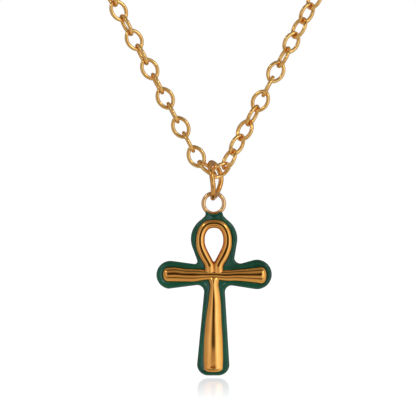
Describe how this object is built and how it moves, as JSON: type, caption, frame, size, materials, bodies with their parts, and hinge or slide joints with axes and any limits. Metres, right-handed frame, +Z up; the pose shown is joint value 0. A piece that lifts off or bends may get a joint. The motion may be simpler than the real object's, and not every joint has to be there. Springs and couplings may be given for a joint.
{
  "type": "ankh pendant necklace",
  "caption": "Enamelled ankh pendant with a round bail and jump ring on a closed loop of oval link chain with a clasp.",
  "frame": {"origin": "centre of the clasp at the back of the neck, where the necklace hangs", "axes": "+Z up along the pendant, +X towards the picture's right, -Y towards the viewer of the picture"},
  "size_m": [0.1156, 0.0845, 0.1626],
  "materials": {
    "gold": "polished gold colour",
    "pale_gold": "polished pale gold colour",
    "enamel": "glossy dark green enamel"
  },
  "bodies": {
    "chain": {"chain_left": "gold", "chain_right": "gold", "chain_extender": "gold", "clasp": "gold"},
    "ring": {"jump_ring": "pale_gold"},
    "pendant": {"pendant_casting": "gold", "enamel_border": "enamel"}
  },
  "joints": [
    {"name": "ring_swing", "type": "hinge", "parent": "chain", "child": "ring", "pos_m": [-0.0002, -0.07997, -0.14176], "axis": [0.2605, 0.9655, 0], "range_deg": [-45, 45]},
    {"name": "pendant_swing", "type": "hinge", "parent": "ring", "child": "pendant", "pos_m": [0, -0.07997, -0.14452], "axis": [1, 0, 0], "range_deg": [-60, 60]}
  ]
}
